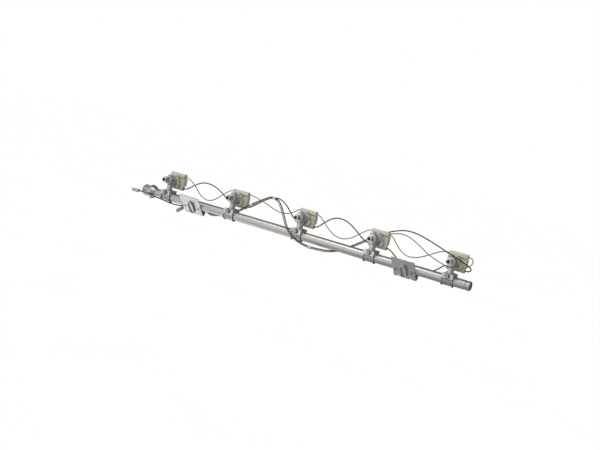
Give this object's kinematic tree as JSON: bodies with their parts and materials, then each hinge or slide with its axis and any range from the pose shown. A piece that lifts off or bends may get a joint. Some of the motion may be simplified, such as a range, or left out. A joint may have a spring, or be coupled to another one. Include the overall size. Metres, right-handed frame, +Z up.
{
  "type": "gas burner valve manifold",
  "caption": "Straight gas tube with burner valves strapped along it, a spark switch on every valve stem, tilted fixing brackets, an inlet union, a closed end and a wiring harness.",
  "frame": {"origin": "centre of the gas inlet's mouth, on the tube's axis", "axes": "+X along the tube to its closed end, +Y the way the valve stems point, +Z up the valve necks"},
  "size_m": [0.8157, 0.0912, 0.1015],
  "materials": {
    "tube_steel": "drawn steel tube",
    "union_steel": "turned and plated",
    "plated_steel": "zinc plated",
    "cast_aluminium": "die cast",
    "plug_brass": "turned, greased",
    "spring_steel": "spring wire",
    "switch_plastic": "moulded, cream",
    "cover_plastic": "moulded, off-white",
    "rotor_plastic": "moulded, white",
    "fitting_metal": "turned and plated",
    "screw_steel": "zinc plated",
    "gasket_rubber": "moulded",
    "sheet_steel": "galvanised sheet",
    "black_insulation": "extruded insulation",
    "tan_insulation": "extruded insulation",
    "terminal_brass": "tinned brass",
    "clear_sleeve": "clear vinyl",
    "tie_plastic": "white band"
  },
  "bodies": {
    "manifold": {"manifold_pipe": "tube_steel", "end_plug": "tube_steel", "inlet_adapter": "union_steel", "inlet_nut": "plated_steel", "valve_body_1": "cast_aluminium", "valve_body_2": "cast_aluminium", "valve_body_3": "cast_aluminium", "valve_body_4": "cast_aluminium", "valve_body_5": "cast_aluminium", "switch_housing_1": "switch_plastic", "switch_housing_2": "switch_plastic", "switch_housing_3": "switch_plastic", "switch_housing_4": "switch_plastic", "switch_housing_5": "switch_plastic", "outlet_fittings": "fitting_metal", "valve_bonnets": "plated_steel", "switch_covers": "cover_plastic", "pipe_clamps": "plated_steel", "clamp_screws": "screw_steel", "spigot_gaskets": "gasket_rubber", "bonnet_screws": "screw_steel", "bracket_left": "sheet_steel", "bracket_right": "sheet_steel", "black_wire_1": "black_insulation", "black_wire_2": "black_insulation", "black_wire_3": "black_insulation", "black_wire_4": "black_insulation", "tan_wire_1": "tan_insulation", "tan_wire_2": "tan_insulation", "tan_wire_3": "tan_insulation", "tan_wire_4": "tan_insulation", "black_lead": "black_insulation", "tan_lead": "tan_insulation", "lead_terminals": "terminal_brass", "terminal_sleeves": "clear_sleeve", "lead_ties": "tie_plastic"},
    "plug_1": {"valve_plug_1": "plug_brass", "switch_rotor_1": "rotor_plastic"},
    "stem_1": {"valve_stem_1": "plated_steel", "stem_spring_1": "spring_steel"},
    "plug_2": {"valve_plug_2": "plug_brass", "switch_rotor_2": "rotor_plastic"},
    "stem_2": {"valve_stem_2": "plated_steel", "stem_spring_2": "spring_steel"},
    "plug_3": {"valve_plug_3": "plug_brass", "switch_rotor_3": "rotor_plastic"},
    "stem_3": {"valve_stem_3": "plated_steel", "stem_spring_3": "spring_steel"},
    "plug_4": {"valve_plug_4": "plug_brass", "switch_rotor_4": "rotor_plastic"},
    "stem_4": {"valve_stem_4": "plated_steel", "stem_spring_4": "spring_steel"},
    "plug_5": {"valve_plug_5": "plug_brass", "switch_rotor_5": "rotor_plastic"},
    "stem_5": {"valve_stem_5": "plated_steel", "stem_spring_5": "spring_steel"}
  },
  "joints": [
    {"name": "valve_1_turn", "type": "hinge", "parent": "manifold", "child": "plug_1", "pos_m": [0.065, 0, 0.037], "axis": [0, 1, 0], "range_deg": [0, 210]},
    {"name": "valve_1_push", "type": "slide", "parent": "plug_1", "child": "stem_1", "axis": [0, -1, 0], "range_m": [0, 0.0025], "stiffness_N_per_m": 800, "deforming": ["stem_spring_1"]},
    {"name": "valve_2_turn", "type": "hinge", "parent": "manifold", "child": "plug_2", "pos_m": [0.23645, 0, 0.037], "axis": [0, 1, 0], "range_deg": [0, 210]},
    {"name": "valve_2_push", "type": "slide", "parent": "plug_2", "child": "stem_2", "axis": [0, -1, 0], "range_m": [0, 0.0025], "stiffness_N_per_m": 800, "deforming": ["stem_spring_2"]},
    {"name": "valve_3_turn", "type": "hinge", "parent": "manifold", "child": "plug_3", "pos_m": [0.4079, 0, 0.037], "axis": [0, 1, 0], "range_deg": [0, 210]},
    {"name": "valve_3_push", "type": "slide", "parent": "plug_3", "child": "stem_3", "axis": [0, -1, 0], "range_m": [0, 0.0025], "stiffness_N_per_m": 800, "deforming": ["stem_spring_3"]},
    {"name": "valve_4_turn", "type": "hinge", "parent": "manifold", "child": "plug_4", "pos_m": [0.57935, 0, 0.037], "axis": [0, 1, 0], "range_deg": [0, 210]},
    {"name": "valve_4_push", "type": "slide", "parent": "plug_4", "child": "stem_4", "axis": [0, -1, 0], "range_m": [0, 0.0025], "stiffness_N_per_m": 800, "deforming": ["stem_spring_4"]},
    {"name": "valve_5_turn", "type": "hinge", "parent": "manifold", "child": "plug_5", "pos_m": [0.7508, 0, 0.037], "axis": [0, 1, 0], "range_deg": [0, 210]},
    {"name": "valve_5_push", "type": "slide", "parent": "plug_5", "child": "stem_5", "axis": [0, -1, 0], "range_m": [0, 0.0025], "stiffness_N_per_m": 800, "deforming": ["stem_spring_5"]}
  ]
}
